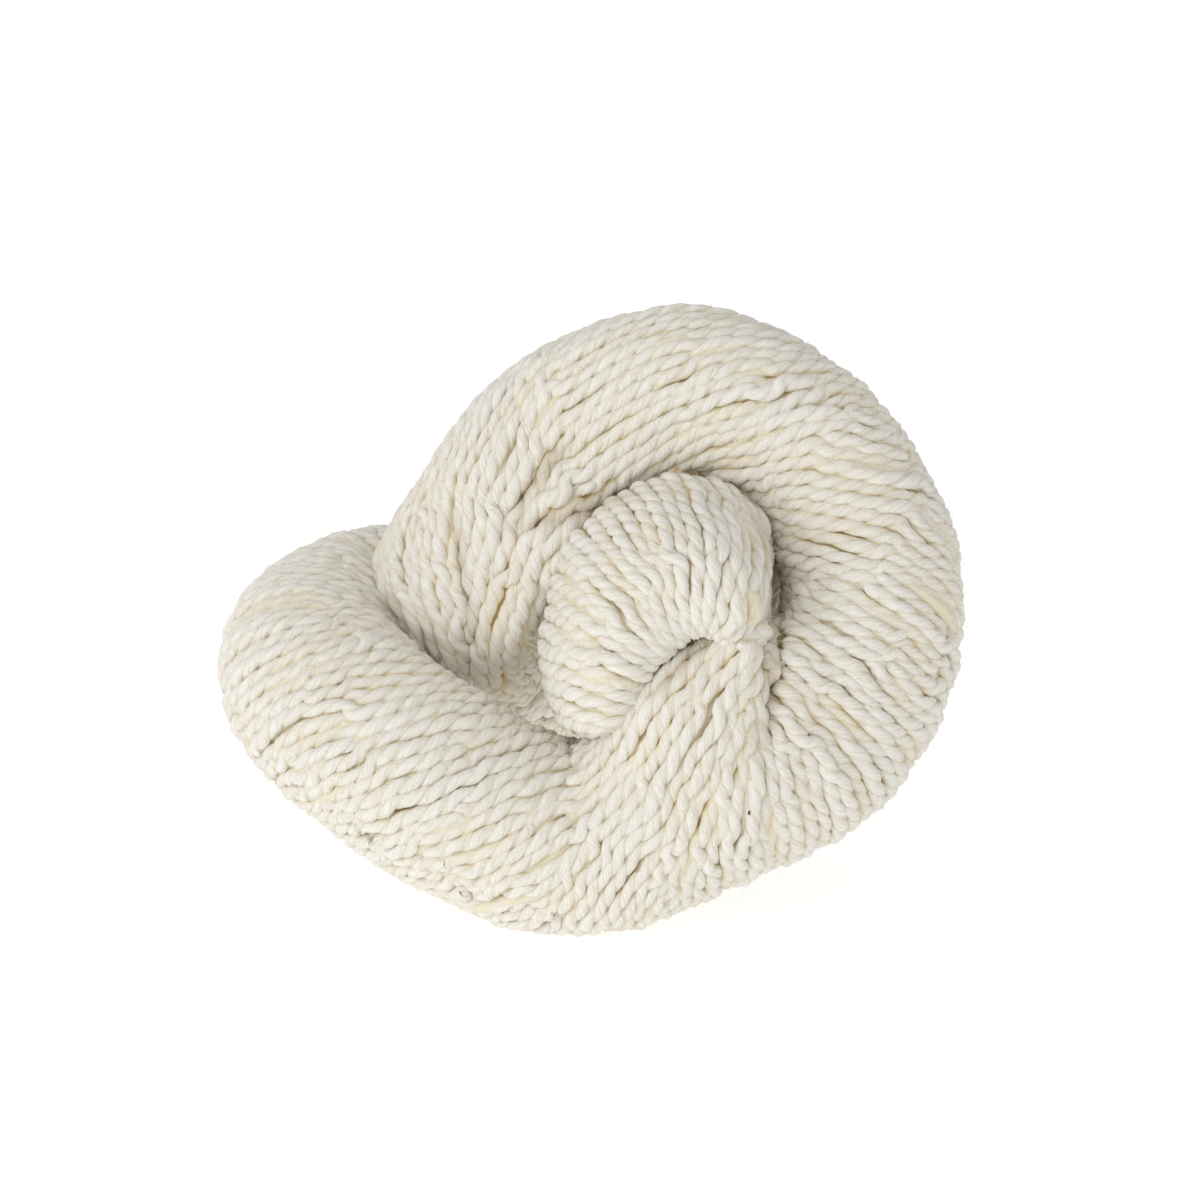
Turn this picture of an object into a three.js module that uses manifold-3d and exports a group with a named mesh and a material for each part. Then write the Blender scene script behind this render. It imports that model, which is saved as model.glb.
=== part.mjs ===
// A twisted hank of undyed two-ply wool yarn, seen end on in its resting pose.
// One fat bundle of yarn makes a wide coil round an eye at the front. From there it runs back, folds and comes
// forward again, and its two runs twist round each other like a short rope. The second run passes through the eye
// from behind and fills it with a knob, whose strands fan out from a pinch.
// Millimetres. x is to the right, y goes away from the viewer and z is up, with the surface it lies on at z = 0.

import * as THREE from "three";
import { mergeVertices } from "three/addons/utils/BufferGeometryUtils.js";
import Module from "manifold-3d";

// Driving sizes of the bundle.
const bundleRibs = 7; // soft ridges of yarn that show round the bundle
const ribPoints = 4; // face points across one ridge
const ribHeight = 0.9; // from the hollow between two ridges to their crest
const turnLength = 104; // length of bundle in which a ridge goes once round
const ringSpacing = 4.6; // between two rings of face points
const bundleParts = 10; // the bundle is swept in this many lengths, then joined

// The bundle's middle line up to the rope: from its foot behind the left lobe, up the arch, clockwise round the coil
// as the viewer sees it, and back past the left lobe. r is the bundle's radius.
const coilStations = [
  { at: "foot, in the rope", x: -13, y: 68, z: 37, r: 8 },
  { at: "foot, low", x: -17, y: 53, z: 34, r: 13 },
  { at: "foot", x: -22, y: 40, z: 37, r: 15 },
  { at: "arch, left foot", x: -21.5, y: 30, z: 50, r: 16 },
  { at: "arch, left", x: -4, y: 25, z: 77, r: 14 },
  { at: "arch, top", x: 15, y: 20, z: 85.5, r: 13.5 },
  { at: "upper right", x: 36, y: 14, z: 75.5, r: 14 },
  { at: "right", x: 45, y: 8, z: 54, r: 15.5 },
  { at: "lower right", x: 37.5, y: 3, z: 32, r: 15.5 },
  { at: "bottom, right", x: 17.5, y: -2, z: 23.5, r: 17 },
  { at: "bottom, left", x: -3, y: 0, z: 15, r: 16.5 },
  { at: "left lobe", x: -30, y: 3, z: 27, r: 17 },
  { at: "left lobe, end", x: -44.5, y: 16, z: 37, r: 16.5 },
  { at: "lobe turns back", x: -41, y: 40, z: 41.5, r: 15.5 },
];

// The rope behind the coil: its middle line, and its two runs, which make one turn to the right round it.
const ropeMiddle = [
  { x: -13, y: 60, z: 41 },
  { x: -11, y: 87, z: 28.3 },
  { x: -6, y: 114, z: 26.5 },
  { x: -2, y: 140, z: 27.5 },
  { x: 2, y: 166, z: 19 },
];
const ropeSteps = 6; // stations along one run
const runOffset = 14.5; // from the rope's middle line to a run's
const runRadius = 15;
const backFold = { x: 3, y: 181, z: 15, r: 13 }; // the turn at the rope's far end

// The second run comes forward through the eye and ends in the knob.
const eyeStations = [
  { at: "into the eye", x: 9, y: 40, z: 46, r: 15.5 },
  { at: "in the eye", x: 14.5, y: 20, z: 54, r: 18 },
  { at: "in the knob", x: 13, y: 5, z: 54, r: 13 },
];

// Soft swells of the bundle's face: the face is pulled by x, y and z, less so with the distance from the place.
const swells = [
  { at: "between arch and knob", x: -12, y: 15, z: 46, by: { x: 1, y: -6, z: 0 }, spread: 13 },
  { at: "inside the arch, left", x: -4, y: 14, z: 63, by: { x: 1.5, y: -5, z: -1 }, spread: 10 },
  { at: "inside the arch, top", x: 8, y: 10, z: 72, by: { x: 0, y: -5, z: -2 }, spread: 9 },
  { at: "collar below the pinch", x: 18, y: -10, z: 40, by: { x: -2, y: -3, z: 6.5 }, spread: 10 },
  { at: "collar, right", x: 27, y: -6, z: 42, by: { x: -2, y: -3.5, z: 7.5 }, spread: 9.5 },
];

// The knob: its pinch, where the strands meet, how far it reaches from there at each angle, counterclockwise from
// the viewer's right, and how much of its full dome it swells to on that side.
const pinch = { x: 14.5, y: -6, z: 45.5 };
const knobReach = [
  { angle: 0, reach: 14, swell: 0.6 },
  { angle: 30, reach: 16.5, swell: 0.9 },
  { angle: 60, reach: 25, swell: 1 },
  { angle: 90, reach: 28, swell: 1 },
  { angle: 120, reach: 26, swell: 1 },
  { angle: 150, reach: 23.5, swell: 1 },
  { angle: 180, reach: 22.5, swell: 1 },
  { angle: 210, reach: 23, swell: 0.85 },
  { angle: 240, reach: 16.5, swell: 0.45 },
  { angle: 270, reach: 12, swell: 0 },
  { angle: 300, reach: 10, swell: 0 },
  { angle: 330, reach: 10, swell: 0 },
];
// Its profile from the pinch over the dome and down into the eye. out is the share of the reach, front is how far
// the dome stands before the pinch where it swells fully, and y is the depth that it has anyway.
const knobProfile = [
  { out: 0, front: 0, y: -6 },
  { out: 0.16, front: 6, y: -7 },
  { out: 0.36, front: 10.5, y: -7 },
  { out: 0.58, front: 11, y: -6.5 },
  { out: 0.78, front: 9, y: -5.5 },
  { out: 0.93, front: 4, y: -3.5 },
  { out: 1.01, front: 0, y: 0 },
  { out: 1.03, front: 0, y: 7 },
  { out: 0.9, front: 0, y: 15 },
  { out: 0.6, front: 0, y: 20 },
  { out: 0, front: 0, y: 22 },
];
const knobRibs = 9;
const knobRibHeight = 0.8;
const knobRings = 18;

// The strands in the heart of the rope, between the two runs.
const heartRadius = 8;
const heartPoints = 10;
const heartRings = 12;

const mergeWithin = 0.002; // points closer than this are one point
const floorDepth = 40; // of the block that trims the underside flat
const floorSpan = 400;

const fullTurn = Math.PI * 2;
const wasm = await Module();
wasm.setup();

// A closed three.js geometry as a solid that can be joined and cut.
function toSolid(geometry) {
  const bare = geometry.clone();
  bare.deleteAttribute("normal");
  bare.deleteAttribute("uv");
  const merged = mergeVertices(bare, mergeWithin);
  return new wasm.Manifold(
    new wasm.Mesh({
      numProp: 3,
      vertProperties: new Float32Array(merged.attributes.position.array),
      triVerts: new Uint32Array(merged.index.array),
    }),
  );
}

// The joined solid as a three.js geometry again.
function toGeometry(solid) {
  const mesh = solid.getMesh();
  const geometry = new THREE.BufferGeometry();
  geometry.setAttribute("position", new THREE.BufferAttribute(mesh.vertProperties, mesh.numProp));
  geometry.setIndex(new THREE.BufferAttribute(mesh.triVerts, 1));
  geometry.computeVertexNormals();
  return geometry;
}

// A soft ridge: 0 in the hollows and 1 on the crests.
function ridge(turn, ribs) {
  return 0.5 + 0.5 * Math.cos(fullTurn * turn * ribs);
}

const toPoints = (rows) => rows.map((row) => new THREE.Vector3(row.x, row.y, row.z));
const ropeLine = new THREE.CatmullRomCurve3(toPoints(ropeMiddle));

// A station of a run at a share of the rope's length. start is its angle in turns at the coil, from the right.
function runStation(share, start) {
  const centre = ropeLine.getPoint(share);
  const angle = fullTurn * (start - share);
  return {
    x: centre.x + runOffset * Math.cos(angle),
    y: centre.y,
    z: centre.z + runOffset * Math.sin(angle),
    r: runRadius,
  };
}

const shares = Array.from({ length: ropeSteps + 1 }, (_, i) => i / ropeSteps);
const stations = [
  ...coilStations,
  ...shares.map((share) => runStation(share, 0.5)),
  backFold,
  ...shares.map((share) => runStation(1 - share, 1)),
  ...eyeStations,
];
const middleLine = new THREE.CatmullRomCurve3(toPoints(stations), false, "centripetal");
middleLine.arcLengthDivisions = 3000;
const radiusLine = new THREE.CatmullRomCurve3(stations.map((s, i) => new THREE.Vector3(i, s.r, 0)));
const bundleRun = middleLine.getLength();
const partRings = Math.round(bundleRun / ringSpacing / bundleParts);
const bundleRings = partRings * bundleParts;
const frames = middleLine.computeFrenetFrames(bundleRings, false);
const bundleTurns = bundleRun / turnLength;

// A point of the bundle's face: ring counts along it, and turn is the share of the way round the ridges.
function bundlePoint(ring, turn) {
  const share = ring / bundleRings;
  const radius = radiusLine.getPoint(middleLine.getUtoTmapping(share)).y;
  const face = radius - ribHeight + ribHeight * ridge(turn, bundleRibs);
  // The ridges lean to the left of the way along, as in a rope with an S twist.
  const angle = fullTurn * (turn - bundleTurns * share);
  const point = middleLine
    .getPointAt(share)
    .addScaledVector(frames.normals[ring], face * Math.cos(angle))
    .addScaledVector(frames.binormals[ring], face * Math.sin(angle));
  for (const swell of swells) {
    const apart = point.distanceTo(new THREE.Vector3(swell.x, swell.y, swell.z));
    const pull = Math.exp(-((apart / swell.spread) ** 2));
    point.addScaledVector(new THREE.Vector3(swell.by.x, swell.by.y, swell.by.z), pull);
  }
  return point;
}

// One length of the bundle: a closed cylinder whose points are laid along the middle line.
function bundleLength(part) {
  const around = bundleRibs * ribPoints;
  const geometry = new THREE.CylinderGeometry(1, 1, 1, around, partRings);
  const position = geometry.attributes.position;
  const point = new THREE.Vector3();
  for (let i = 0; i < position.count; i++) {
    point.fromBufferAttribute(position, i);
    const ring = part * partRings + Math.round((0.5 - point.y) * partRings);
    if (Math.hypot(point.x, point.z) < 0.5) {
      // The middle of an end bulges one ring into the next length, so that the two join as one body.
      const past = THREE.MathUtils.clamp(ring + Math.sign(-point.y), 0, bundleRings);
      point.copy(middleLine.getPointAt(past / bundleRings));
    } else {
      const step = -Math.round((Math.atan2(point.x, point.z) / fullTurn) * around);
      point.copy(bundlePoint(ring, step / around));
    }
    position.setXYZ(i, point.x, point.y, point.z);
  }
  return toSolid(geometry);
}

// The value of a table's column between its rows, with the ends joined if it goes round.
function smoothColumn(rows, column, share, closed) {
  const line = new THREE.CatmullRomCurve3(
    rows.map((row, i) => new THREE.Vector3(i, row[column], 0)),
    closed,
    "catmullrom",
    0.5,
  );
  return line.getPoint(share).y;
}

// The knob: a sphere with its pole at the pinch, spread out to the knob's reach and profile, with fanned ridges.
function knobSolid() {
  const around = knobRibs * ribPoints;
  const geometry = new THREE.SphereGeometry(1, around, knobRings);
  const position = geometry.attributes.position;
  const point = new THREE.Vector3();
  for (let i = 0; i < position.count; i++) {
    point.fromBufferAttribute(position, i);
    const down = Math.acos(THREE.MathUtils.clamp(point.y, -1, 1)) / Math.PI;
    const atPole = Math.hypot(point.x, point.z) < 1e-6;
    const turn = atPole ? 0 : (Math.atan2(point.z, point.x) / fullTurn + 1) % 1;
    const step = Math.round(turn * around) / around;
    const out = atPole ? 0 : smoothColumn(knobProfile, "out", down, false);
    const share = step === 0 ? 0 : 1 - step; // counterclockwise, as in the table of reaches
    const ribbed = knobRibHeight * Math.sin(Math.PI * Math.min(1, out)) * ridge(step, knobRibs);
    const front = smoothColumn(knobProfile, "front", down, false) + (down < 0.5 ? ribbed : 0);
    const depth = smoothColumn(knobProfile, "y", down, false);
    const reach = smoothColumn(knobReach, "reach", share, true) * out;
    position.setXYZ(
      i,
      pinch.x + reach * Math.cos(fullTurn * share),
      depth - front * smoothColumn(knobReach, "swell", share, true),
      pinch.z + reach * Math.sin(fullTurn * share),
    );
  }
  return toSolid(geometry);
}

// The largest body of a solid, so that no sliver between two ridges that meet stays as a hollow.
function mainBody(solid) {
  return solid.decompose().reduce((most, body) => (body.volume() > most.volume() ? body : most));
}

// The heart: a rod along the rope's middle line.
function heartSolid() {
  const section = new THREE.Shape().absarc(0, 0, heartRadius, 0, fullTurn);
  return toSolid(
    new THREE.ExtrudeGeometry(section, {
      extrudePath: ropeLine,
      steps: heartRings,
      curveSegments: heartPoints,
      bevelEnabled: false,
    }),
  );
}

// Everything below the surface that the hank lies on.
function floorBlock() {
  const block = new THREE.BoxGeometry(floorSpan, floorSpan, floorDepth);
  block.translate(0, 0, -floorDepth / 2);
  return toSolid(block);
}

let joined = knobSolid().add(heartSolid());
for (let part = 0; part < bundleParts; part++) joined = joined.add(bundleLength(part));
const trimmed = toGeometry(joined.subtract(floorBlock()));
const hankGeometry = toGeometry(mainBody(toSolid(trimmed)));

// The origin is below the middle of the hank, on the surface it lies on.
hankGeometry.computeBoundingBox();
const middle = hankGeometry.boundingBox.getCenter(new THREE.Vector3());
hankGeometry.translate(-middle.x, -middle.y, -hankGeometry.boundingBox.min.z);

const wool = new THREE.MeshStandardMaterial({ color: 0xeae6dc, roughness: 0.95, metalness: 0 });
const hank = new THREE.Mesh(hankGeometry, wool);
hank.name = "hank";

const group = new THREE.Group();
group.add(hank);

export default group;
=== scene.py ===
import math

import bpy
import numpy as np
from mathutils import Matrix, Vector
from mathutils.bvhtree import BVHTree
from mathutils.kdtree import KDTree


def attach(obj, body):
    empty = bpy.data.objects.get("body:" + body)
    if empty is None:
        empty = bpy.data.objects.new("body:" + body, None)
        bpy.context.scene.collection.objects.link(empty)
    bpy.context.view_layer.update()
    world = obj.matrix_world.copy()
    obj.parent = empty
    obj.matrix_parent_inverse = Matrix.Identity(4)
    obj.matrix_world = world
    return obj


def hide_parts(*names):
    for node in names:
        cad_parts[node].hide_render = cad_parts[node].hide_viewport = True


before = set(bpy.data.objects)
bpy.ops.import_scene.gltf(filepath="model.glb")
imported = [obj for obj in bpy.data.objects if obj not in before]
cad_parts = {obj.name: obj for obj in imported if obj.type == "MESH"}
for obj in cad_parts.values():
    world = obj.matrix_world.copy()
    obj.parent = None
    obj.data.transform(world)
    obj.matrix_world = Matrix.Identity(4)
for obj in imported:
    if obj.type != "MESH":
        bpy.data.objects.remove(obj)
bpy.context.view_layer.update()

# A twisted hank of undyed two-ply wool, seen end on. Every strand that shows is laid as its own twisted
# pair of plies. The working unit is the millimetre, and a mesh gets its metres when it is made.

turn = math.pi * 2
metre = 0.001  # metres in a millimetre
frontLimit = -38  # in front of this the strands are made finer, because the picture shows them
topLevel = 1.2  # how far below the outside the outer strands' middles lie
underLevel = 2.2  # and those of the layer below them

# The camera

view = {
    "elevation": 12,  # degrees down
    "distance": 1100,
    "target": (1.69, -87.14, 54.3),
    "lens": 206.25,
    "sensor": 36,
    "picture": 1200,  # points across
}
viewTarget = np.array(view["target"])
slope = math.radians(view["elevation"])
viewForward = np.array((0, math.cos(slope), -math.sin(slope)))
viewUp = np.array((0, math.sin(slope), math.cos(slope)))
viewRight = np.array((1.0, 0, 0))
viewFrom = viewTarget - viewForward * view["distance"]
viewScale = view["picture"] * view["lens"] / view["sensor"]


def toPicture(points):  # where points show in the picture
    offset = np.asarray(points) - viewFrom
    away = offset @ viewForward
    across = view["picture"] / 2 + offset @ viewRight / away * viewScale
    down = view["picture"] / 2 - offset @ viewUp / away * viewScale
    return np.stack([across, down], -1)


def pictureRay(across, down):  # from the camera through a point of the picture
    half = view["picture"] / 2
    ray = viewForward + viewRight * (across - half) / viewScale + viewUp * (half - down) / viewScale
    return ray / np.linalg.norm(ray)


bpy.ops.object.select_all(action="DESELECT")
bpy.ops.object.camera_add(location=viewFrom * metre, rotation=(math.radians(90) - slope, 0, 0))
camera = bpy.context.object
camera.name = "camera"
camera.data.lens = view["lens"]
camera.data.sensor_width = view["sensor"]
camera.data.clip_end = 20
bpy.context.scene.camera = camera
print("camera set")

# The bundle's middle line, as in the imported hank. lay is the angle of its strands to the bundle, in degrees

bundle = {
    "shift": (0.409, -87.143, 0),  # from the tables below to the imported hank
    "coil": [
        {"at": "foot, in the rope", "x": -13, "y": 68, "z": 37, "r": 8, "lay": 45},
        {"at": "foot, low", "x": -17, "y": 53, "z": 34, "r": 13, "lay": 45},
        {"at": "foot", "x": -22, "y": 40, "z": 37, "r": 15, "lay": 42},
        {"at": "arch, left foot", "x": -21.5, "y": 30, "z": 50, "r": 16, "lay": 32},
        {"at": "arch, left", "x": -4, "y": 25, "z": 77, "r": 14, "lay": 24},
        {"at": "arch, top", "x": 15, "y": 20, "z": 85.5, "r": 13.5, "lay": 24},
        {"at": "upper right", "x": 36, "y": 14, "z": 75.5, "r": 14, "lay": 50},
        {"at": "right", "x": 45, "y": 8, "z": 54, "r": 15.5, "lay": 66},
        {"at": "lower right", "x": 37.5, "y": 3, "z": 32, "r": 15.5, "lay": 66},
        {"at": "bottom, right", "x": 17.5, "y": -2, "z": 23.5, "r": 17, "lay": 50},
        {"at": "bottom, left", "x": -3, "y": 0, "z": 15, "r": 16.5, "lay": 40},
        {"at": "left lobe", "x": -30, "y": 3, "z": 27, "r": 17, "lay": 44},
        {"at": "left lobe, end", "x": -44.5, "y": 16, "z": 37, "r": 16.5, "lay": 46},
        {"at": "lobe turns back", "x": -41, "y": 40, "z": 41.5, "r": 15.5, "lay": 45},
    ],
    "rope": [(-13, 60, 41), (-11, 87, 28.3), (-6, 114, 26.5), (-2, 140, 27.5), (2, 166, 19)],
    "ropeSteps": 6,
    "runOffset": 14.5,
    "runRadius": 15,
    "runLay": 45,
    "backFold": {"x": 3, "y": 181, "z": 15, "r": 13, "lay": 45},
    "eye": [
        {"at": "into the eye", "x": 9, "y": 40, "z": 46, "r": 15.5, "lay": 40},
        {"at": "in the eye", "x": 14.5, "y": 20, "z": 54, "r": 18, "lay": 40},
        {"at": "in the knob", "x": 13, "y": 5, "z": 54, "r": 13, "lay": 40},
    ],
    "ringStep": 1.0,
    "laySmooth": 21,  # rings over which the lay is averaged
    "around": 64,
    "sink": 0.35,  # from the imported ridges' crests to the outside of the strands
    "hiddenBelow": 3.2,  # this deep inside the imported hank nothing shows
    "pinchSpare": 3,  # but deeper at the pinch
    "pinchReach": 15,
    "underPush": 0.75,  # share of the pushes that the layer below takes
    "floorRest": 0.2,  # the strands' lowest points above the floor
}


def catmullRom(rows, at, centripetal=True):  # a smooth line through rows, at a count of rows from the first
    rows = np.asarray(rows, float)
    first = 2 * rows[0] - rows[1]
    last = 2 * rows[-1] - rows[-2]
    rows = np.concatenate([[first], rows, [last]])
    start = np.clip(np.floor(at).astype(int), 0, len(rows) - 4)
    share = (at - start)[:, None]
    p0, p1, p2, p3 = (rows[start + k] for k in range(4))
    d0 = d1 = d2 = np.ones_like(share)
    if centripetal:
        pairs = ((p0, p1), (p1, p2), (p2, p3))
        d0, d1, d2 = (np.linalg.norm(a - b, axis=1)[:, None] ** 0.5 for a, b in pairs)
    t1 = ((p1 - p0) / d0 - (p2 - p0) / (d0 + d1) + (p2 - p1) / d1) * d1
    t2 = ((p2 - p1) / d1 - (p3 - p1) / (d1 + d2) + (p3 - p2) / d2) * d1
    return (
        p1
        + t1 * share
        + (3 * (p2 - p1) - 2 * t1 - t2) * share**2
        + (2 * (p1 - p2) + t1 + t2) * share**3
    )


def runStation(share, start):  # a station of one of the rope's two runs
    centre = catmullRom(bundle["rope"], np.array([share * (len(bundle["rope"]) - 1)]))[0]
    angle = turn * (start - share)
    return {
        "x": centre[0] + bundle["runOffset"] * math.cos(angle),
        "y": centre[1],
        "z": centre[2] + bundle["runOffset"] * math.sin(angle),
        "r": bundle["runRadius"],
        "lay": bundle["runLay"],
    }


def unit(vectors):  # vectors at length one
    return vectors / np.maximum(np.linalg.norm(vectors, axis=-1, keepdims=True), 1e-9)


def bundleRings():  # the bundle's rings: centre, way along, two sides, radius and lay
    shares = [k / bundle["ropeSteps"] for k in range(bundle["ropeSteps"] + 1)]
    stations = (
        bundle["coil"]
        + [runStation(share, 0.5) for share in shares]
        + [bundle["backFold"]]
        + [runStation(1 - share, 1) for share in shares]
        + bundle["eye"]
    )
    rows = np.array([(s["x"], s["y"], s["z"]) for s in stations], float) + bundle["shift"]
    fine = np.linspace(0, len(stations) - 1, len(stations) * 60)
    line = catmullRom(rows, fine)
    length = np.concatenate([[0], np.cumsum(np.linalg.norm(np.diff(line, axis=0), axis=1))])
    count = int(length[-1] / bundle["ringStep"])
    at = np.interp(np.arange(count) * bundle["ringStep"], length, fine)
    centre = catmullRom(rows, at)
    radius = catmullRom([(s["r"], 0) for s in stations], at, False)[:, 0]
    lay = np.interp(at, np.arange(len(stations)), [s["lay"] for s in stations])
    window = bundle["laySmooth"]
    lay = np.convolve(np.pad(lay, window // 2, "edge"), np.ones(window) / window, "valid")
    along = unit(np.gradient(centre, axis=0))
    side = np.zeros_like(centre)
    side[0] = unit(np.cross(along[0], (0, 0, 1)))
    for k in range(1, count):  # carried along without turning
        side[k] = unit(side[k - 1] - along[k] * np.dot(side[k - 1], along[k]))
    return {
        "centre": centre,
        "along": along,
        "side": side,
        "other": np.cross(along, side),
        "radius": radius,
        "lay": lay,
    }


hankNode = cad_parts["hank"]
hankPoints = np.empty(len(hankNode.data.vertices) * 3, np.float32)
hankNode.data.vertices.foreach_get("co", hankPoints)
hankPoints = hankPoints.reshape(-1, 3) / metre
hankFaces = [tuple(face.vertices) for face in hankNode.data.polygons]
hankTree = BVHTree.FromPolygons(hankPoints.tolist(), hankFaces)


def depthInside(skin):  # how deep a skin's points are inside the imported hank
    depth = np.empty(skin.rows * skin.columns)
    for k, point in enumerate(skin.points.reshape(-1, 3).tolist()):
        near, normal, face, distance = hankTree.find_nearest(point)
        outside = (Vector(point) - near).dot(normal) > 0
        depth[k] = -distance if outside else distance
    return depth.reshape(skin.rows, skin.columns)


class Skin:  # a grid of surface points, open along and closed round, with the way that the strands run on it
    def __init__(self, points, lay):  # lay in radians, left-handed round the skin
        self.points = points
        self.rows, self.columns = points.shape[:2]
        self.measure()
        self.double = np.stack([np.cos(2 * lay), np.sin(2 * lay)], 2)
        self.pinch = False

    def measure(self):  # the grid's two directions, their lengths and the outward normals
        self.alongStep = np.gradient(self.points, axis=0)
        self.roundStep = (np.roll(self.points, -1, 1) - np.roll(self.points, 1, 1)) / 2
        self.alongLength = np.maximum(np.linalg.norm(self.alongStep, axis=2), 0.05)
        self.roundLength = np.maximum(np.linalg.norm(self.roundStep, axis=2), 0.05)
        self.alongWay = unit(self.alongStep)
        self.normal = unit(np.cross(self.roundStep, self.alongStep))
        self.roundWay = np.cross(self.alongWay, self.normal)

    def pack(self):  # all that look gives, in one table
        self.table = np.concatenate(
            [
                self.points,
                self.normal,
                self.double,
                self.alongLength[..., None],
                self.roundLength[..., None],
                self.shows[..., None].astype(float),
            ],
            2,
        )

    def look(self, row, column):  # all values at a place between the grid's points
        row = min(max(row, 0.0), self.rows - 1.001)
        low, left = int(row), int(column) % self.columns
        down, across = row - low, column - math.floor(column)
        right = (left + 1) % self.columns
        top = self.table[low, left] * (1 - across) + self.table[low, right] * across
        base = self.table[low + 1, left] * (1 - across) + self.table[low + 1, right] * across
        return top * (1 - down) + base * down

    def rayTree(self):
        corners = np.arange(self.rows * self.columns).reshape(self.rows, self.columns)
        nextColumn = np.roll(corners, -1, 1)
        faces = np.stack([corners[:-1], nextColumn[:-1], nextColumn[1:], corners[1:]], 2)
        return BVHTree.FromPolygons(self.points.reshape(-1, 3).tolist(), faces.reshape(-1, 4).tolist())


def lineSamples(points, every):  # points spaced evenly along a drawn line of the picture
    rows = np.array(points, float)
    fine = catmullRom(rows, np.linspace(0, len(rows) - 1, 30 * len(rows)))
    length = np.concatenate([[0], np.cumsum(np.linalg.norm(np.diff(fine, axis=0), axis=1))])
    wanted = np.linspace(0, length[-1], max(3, int(length[-1] / every) + 1))
    return np.stack([np.interp(wanted, length, fine[:, k]) for k in range(2)], 1)


def guideLay(skin, lines, settings):  # turns the lay towards lines drawn on the picture
    tree = skin.rayTree()
    places = []
    doubles = []
    for line in lines:
        spots = lineSamples(line, settings["every"])
        ways = unit(np.gradient(spots, axis=0))
        for spot, way in zip(spots, ways):
            ray = pictureRay(*spot)
            hit, normal, face, distance = tree.ray_cast(viewFrom.tolist(), ray.tolist())
            if hit is None:
                continue
            row, column = divmod(face, skin.columns)
            outward = skin.normal[row, column]
            if -outward @ ray < settings["leastFacing"]:
                continue
            flat = viewRight * way[0] - viewUp * way[1]
            onSkin = unit(np.cross(outward, np.cross(ray, flat)))
            lay = math.atan2(-onSkin @ skin.roundWay[row, column], onSkin @ skin.alongWay[row, column])
            places.append((row + 0.5, column + 0.5))
            doubles.append((math.cos(2 * lay), math.sin(2 * lay)))
    places = np.array(places)
    doubles = np.array(doubles)
    rows = np.arange(skin.rows)[:, None, None]
    columns = np.arange(skin.columns)[None, :, None]
    across = np.abs(columns - places[:, 1])
    across = np.minimum(across, skin.columns - across) * skin.roundLength[..., None]
    down = np.abs(rows - places[:, 0]) * np.minimum(skin.alongLength, settings["longestStep"])[..., None]
    weight = 1 / (across**2 + down**2 + settings["soften"] ** 2) ** 2
    own = 1 / settings["reach"] ** 4
    total = weight.sum(2, keepdims=True) + own
    mixed = (weight @ doubles + skin.double * own) / total
    skin.double = unit(mixed)
    return len(places)


pushes = [
    {"at": (-12, 15, 46), "by": (1, -9, 0), "reach": 14},  # the second bulge, between arch and knob
    {"at": (-4, 14, 63), "by": (1.5, -7.5, -1), "reach": 11},  # the arch's inner side, beside the knob
    {"at": (8, 10, 72), "by": (0, -5, -2), "reach": 9},
    {"at": (18, -10, 40), "by": (-3.5, -4, 8), "reach": 10},  # the collar below the pinch
    {"at": (27, -6, 42), "by": (-2.5, -5, 9), "reach": 9.5},
    {"at": (11, -11, 36), "by": (-2, -2, 3), "reach": 8},
]


def push(skin, tables, part):  # pulls soft places of the skin out, by their distance from a point
    for table in tables:
        apart = np.linalg.norm(skin.points - (np.array(table["at"]) + bundle["shift"]), axis=2)
        share = np.exp(-((apart / table["reach"]) ** 2))
        skin.points = skin.points + share[..., None] * np.array(table["by"], float) * part
    skin.measure()


def nearLines(spots, tables, amount, least, scale):  # how strongly lines of the picture act on spots
    strength = np.zeros(len(spots))
    for table in tables:
        line = lineSamples(table["line"], creases["every"])
        share = np.linspace(0, 1, len(line))
        fade = np.minimum(1, 4 * np.minimum(share + least, 1 + least - share))  # weaker at the line's ends
        apart = np.linalg.norm(spots[:, None] - line[None], axis=2) * scale
        near = (fade * table[amount] * np.exp(-((apart / table["width"]) ** 2))).max(1)
        strength = np.maximum(strength, near)
    return strength


def groove(skin, tables):  # presses creases into the skin along lines drawn on the picture
    spots = toPicture(skin.points.reshape(-1, 3))
    sink = nearLines(spots, tables, "depth", creases["grooveEnd"], view["distance"] / viewScale)
    facing = -(skin.normal @ viewForward).reshape(-1)
    sink = sink * np.clip(facing * 3, 0, 1)  # only where the skin faces the camera
    skin.points = skin.points - skin.normal * sink.reshape(skin.rows, skin.columns, 1)
    skin.measure()


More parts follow.
